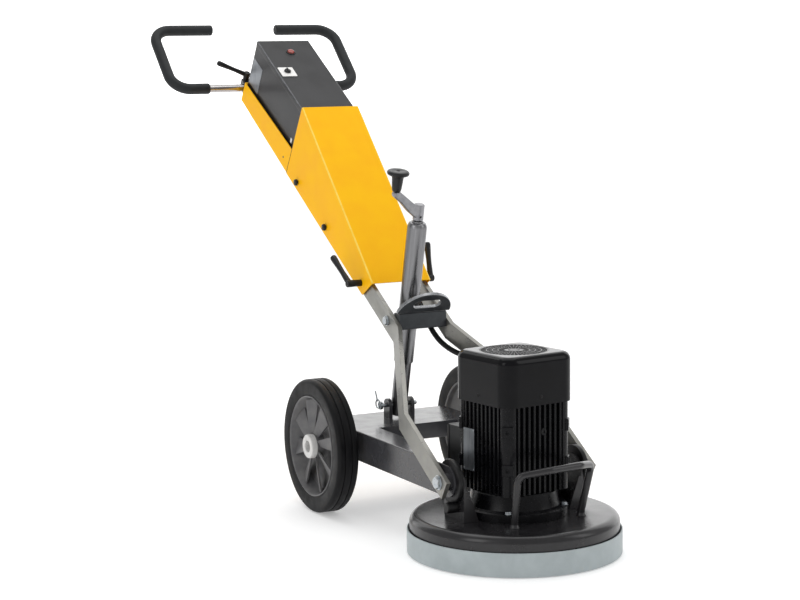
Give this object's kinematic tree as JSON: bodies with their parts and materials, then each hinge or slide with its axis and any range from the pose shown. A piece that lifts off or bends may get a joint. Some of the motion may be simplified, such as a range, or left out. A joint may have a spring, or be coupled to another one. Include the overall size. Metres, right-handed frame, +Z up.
{
  "type": "floor grinder",
  "caption": "Walk-behind single-disc floor grinder: motor head under a round hood, tilting wheeled chassis, levelling spindle, sloping column with control box and looped handlebar.",
  "frame": {"origin": "on the floor, under the middle of the machine's bounding box", "axes": "+X forwards from the handlebar to the grinding head, +Y to the operator's left, +Z up"},
  "size_m": [1.6471, 0.539, 1.1037],
  "materials": {
    "charcoal": "satin",
    "black_gloss": "gloss",
    "black_motor": "satin",
    "yellow": "gloss",
    "arm_grey": "satin",
    "crossbar_grey": "satin",
    "zinc": "satin",
    "steel": "satin",
    "cast_iron": "matte",
    "rubber": "matte",
    "tyre": "matte",
    "foam": "matte",
    "skirt": "satin",
    "black_plastic": "satin",
    "grey_plastic": "satin",
    "red_plastic": "gloss",
    "bronze": "satin"
  },
  "bodies": {
    "head": {"hood": "charcoal", "dust_skirt": "skirt", "drive_end_shield": "black_motor", "motor_housing": "black_motor", "stator_core": "steel", "top_end_shield": "black_motor", "fan_cowl": "black_gloss", "terminal_box": "black_plastic", "terminal_box_lid": "black_plastic", "cable_gland": "black_plastic", "front_handle": "charcoal", "pivot_bracket_right": "charcoal", "pivot_bracket_left": "charcoal", "pivot_bush_right": "rubber", "pivot_bush_left": "rubber", "pivot_bolt_right": "zinc", "pivot_bolt_left": "zinc", "lower_bearing": "steel", "upper_bearing": "steel"},
    "rotor": {"motor_shaft": "steel", "rotor_core": "steel", "cooling_fan": "black_plastic", "drive_hub": "steel", "grinding_plate": "cast_iron", "grinding_segment_1": "cast_iron", "grinding_segment_2": "cast_iron", "grinding_segment_3": "cast_iron"},
    "fork": {"fork_arm_right": "arm_grey", "fork_arm_left": "arm_grey", "crossbar": "crossbar_grey", "lifting_plate": "crossbar_grey", "trunnion_bolt": "zinc", "motor_cable": "rubber"},
    "spindle_guide": {"spindle_outer_tube": "steel"},
    "spindle_slider": {"spindle_inner_tube": "steel", "spindle_nut": "bronze"},
    "crank": {"spindle_screw": "steel", "crank_arm": "zinc"},
    "crank_handle": {"crank_knob": "black_plastic"},
    "chassis": {"chassis_frame": "charcoal", "clevis_pin": "zinc", "wheel_axle": "steel"},
    "wheel_right": {"wheel_rim_right": "grey_plastic", "tyre_right": "tyre"},
    "wheel_left": {"wheel_rim_left": "grey_plastic", "tyre_left": "tyre"},
    "column": {"column_tray": "yellow", "column_cover": "yellow", "control_box": "charcoal", "control_box_lid": "charcoal", "contactor": "grey_plastic", "bar_clamp": "charcoal"},
    "lever_right": {"column_lever_right": "black_plastic"},
    "lever_left": {"column_lever_left": "black_plastic"},
    "lever_bar": {"bar_lever": "black_plastic"},
    "switch": {"switch_knob": "black_plastic"},
    "button": {"start_button": "red_plastic"},
    "handlebar": {"handlebar_tube": "steel", "grip_right": "foam", "grip_left": "foam"}
  },
  "joints": [
    {"name": "disc_spin", "type": "hinge", "parent": "head", "child": "rotor", "pos_m": [0.6, 0, 0.1], "axis": [0, 0, 1], "continuous": true},
    {"name": "fork_pitch", "type": "hinge", "parent": "head", "child": "fork", "pos_m": [0.6, 0, 0.164], "axis": [0, 1, 0], "range_deg": [-4, 6], "deforming": ["motor_cable"]},
    {"name": "chassis_tilt", "type": "hinge", "parent": "fork", "child": "chassis", "pos_m": [0.6, 0, 0.164], "axis": [0, 1, 0], "range_deg": [-4, 4]},
    {"name": "spindle_swing", "type": "hinge", "parent": "fork", "child": "spindle_guide", "pos_m": [0.15702, 0, 0.43652], "axis": [0, 1, 0], "range_deg": [-1.2, 1.2]},
    {"name": "spindle_slide", "type": "slide", "parent": "spindle_guide", "child": "spindle_slider", "axis": [0.2284, 0, 0.9736], "range_m": [-0.045, 0.045]},
    {"name": "crank_turn", "type": "hinge", "parent": "spindle_guide", "child": "crank", "pos_m": [0.12635, 0, 0.44372], "axis": [0.2284, 0, 0.9736], "continuous": true},
    {"name": "crank_knob_spin", "type": "hinge", "parent": "crank", "child": "crank_handle", "pos_m": [0.12635, -0.061, 0.44372], "axis": [0.2284, 0, 0.9736], "continuous": true},
    {"name": "wheel_right_spin", "type": "hinge", "parent": "chassis", "child": "wheel_right", "pos_m": [0.077, 0, 0.15161], "axis": [0, 1, 0], "continuous": true},
    {"name": "wheel_left_spin", "type": "hinge", "parent": "chassis", "child": "wheel_left", "pos_m": [0.077, 0, 0.15161], "axis": [0, 1, 0], "continuous": true},
    {"name": "column_tilt", "type": "hinge", "parent": "fork", "child": "column", "pos_m": [0.03786, 0, 0.50983], "axis": [0, 1, 0], "range_deg": [-20, 8]},
    {"name": "lever_right_turn", "type": "hinge", "parent": "column", "child": "lever_right", "pos_m": [0.03786, 0, 0.50983], "axis": [0, -1, 0], "range_deg": [0, 90]},
    {"name": "lever_left_turn", "type": "hinge", "parent": "column", "child": "lever_left", "pos_m": [0.03786, 0, 0.50983], "axis": [0, 1, 0], "range_deg": [0, 90]},
    {"name": "handlebar_tilt", "type": "hinge", "parent": "column", "child": "handlebar", "pos_m": [-0.65898, 0, 0.94205], "axis": [0, 1, 0], "range_deg": [-30, 30]},
    {"name": "bar_lever_turn", "type": "hinge", "parent": "column", "child": "lever_bar", "pos_m": [-0.67291, -0.0575, 0.9471], "axis": [0.524, 0, 0.8517], "range_deg": [-60, 20]},
    {"name": "switch_turn", "type": "hinge", "parent": "column", "child": "switch", "pos_m": [-0.42544, -0.045, 0.98388], "axis": [0.524, 0, 0.8517], "range_deg": [-90, 0]},
    {"name": "button_press", "type": "slide", "parent": "column", "child": "button", "axis": [-0.524, 0, -0.8517], "range_m": [0, 0.003], "stiffness_N_per_m": 400, "springref_m": -0.002}
  ],
  "couplings": [
    {"joint": "spindle_swing", "follows": "chassis_tilt", "ratio": 0.2523},
    {"joint": "spindle_slide", "follows": "chassis_tilt", "m_per_rad": 0.517},
    {"joint": "crank_turn", "follows": "chassis_tilt", "ratio": -649.7}
  ]
}
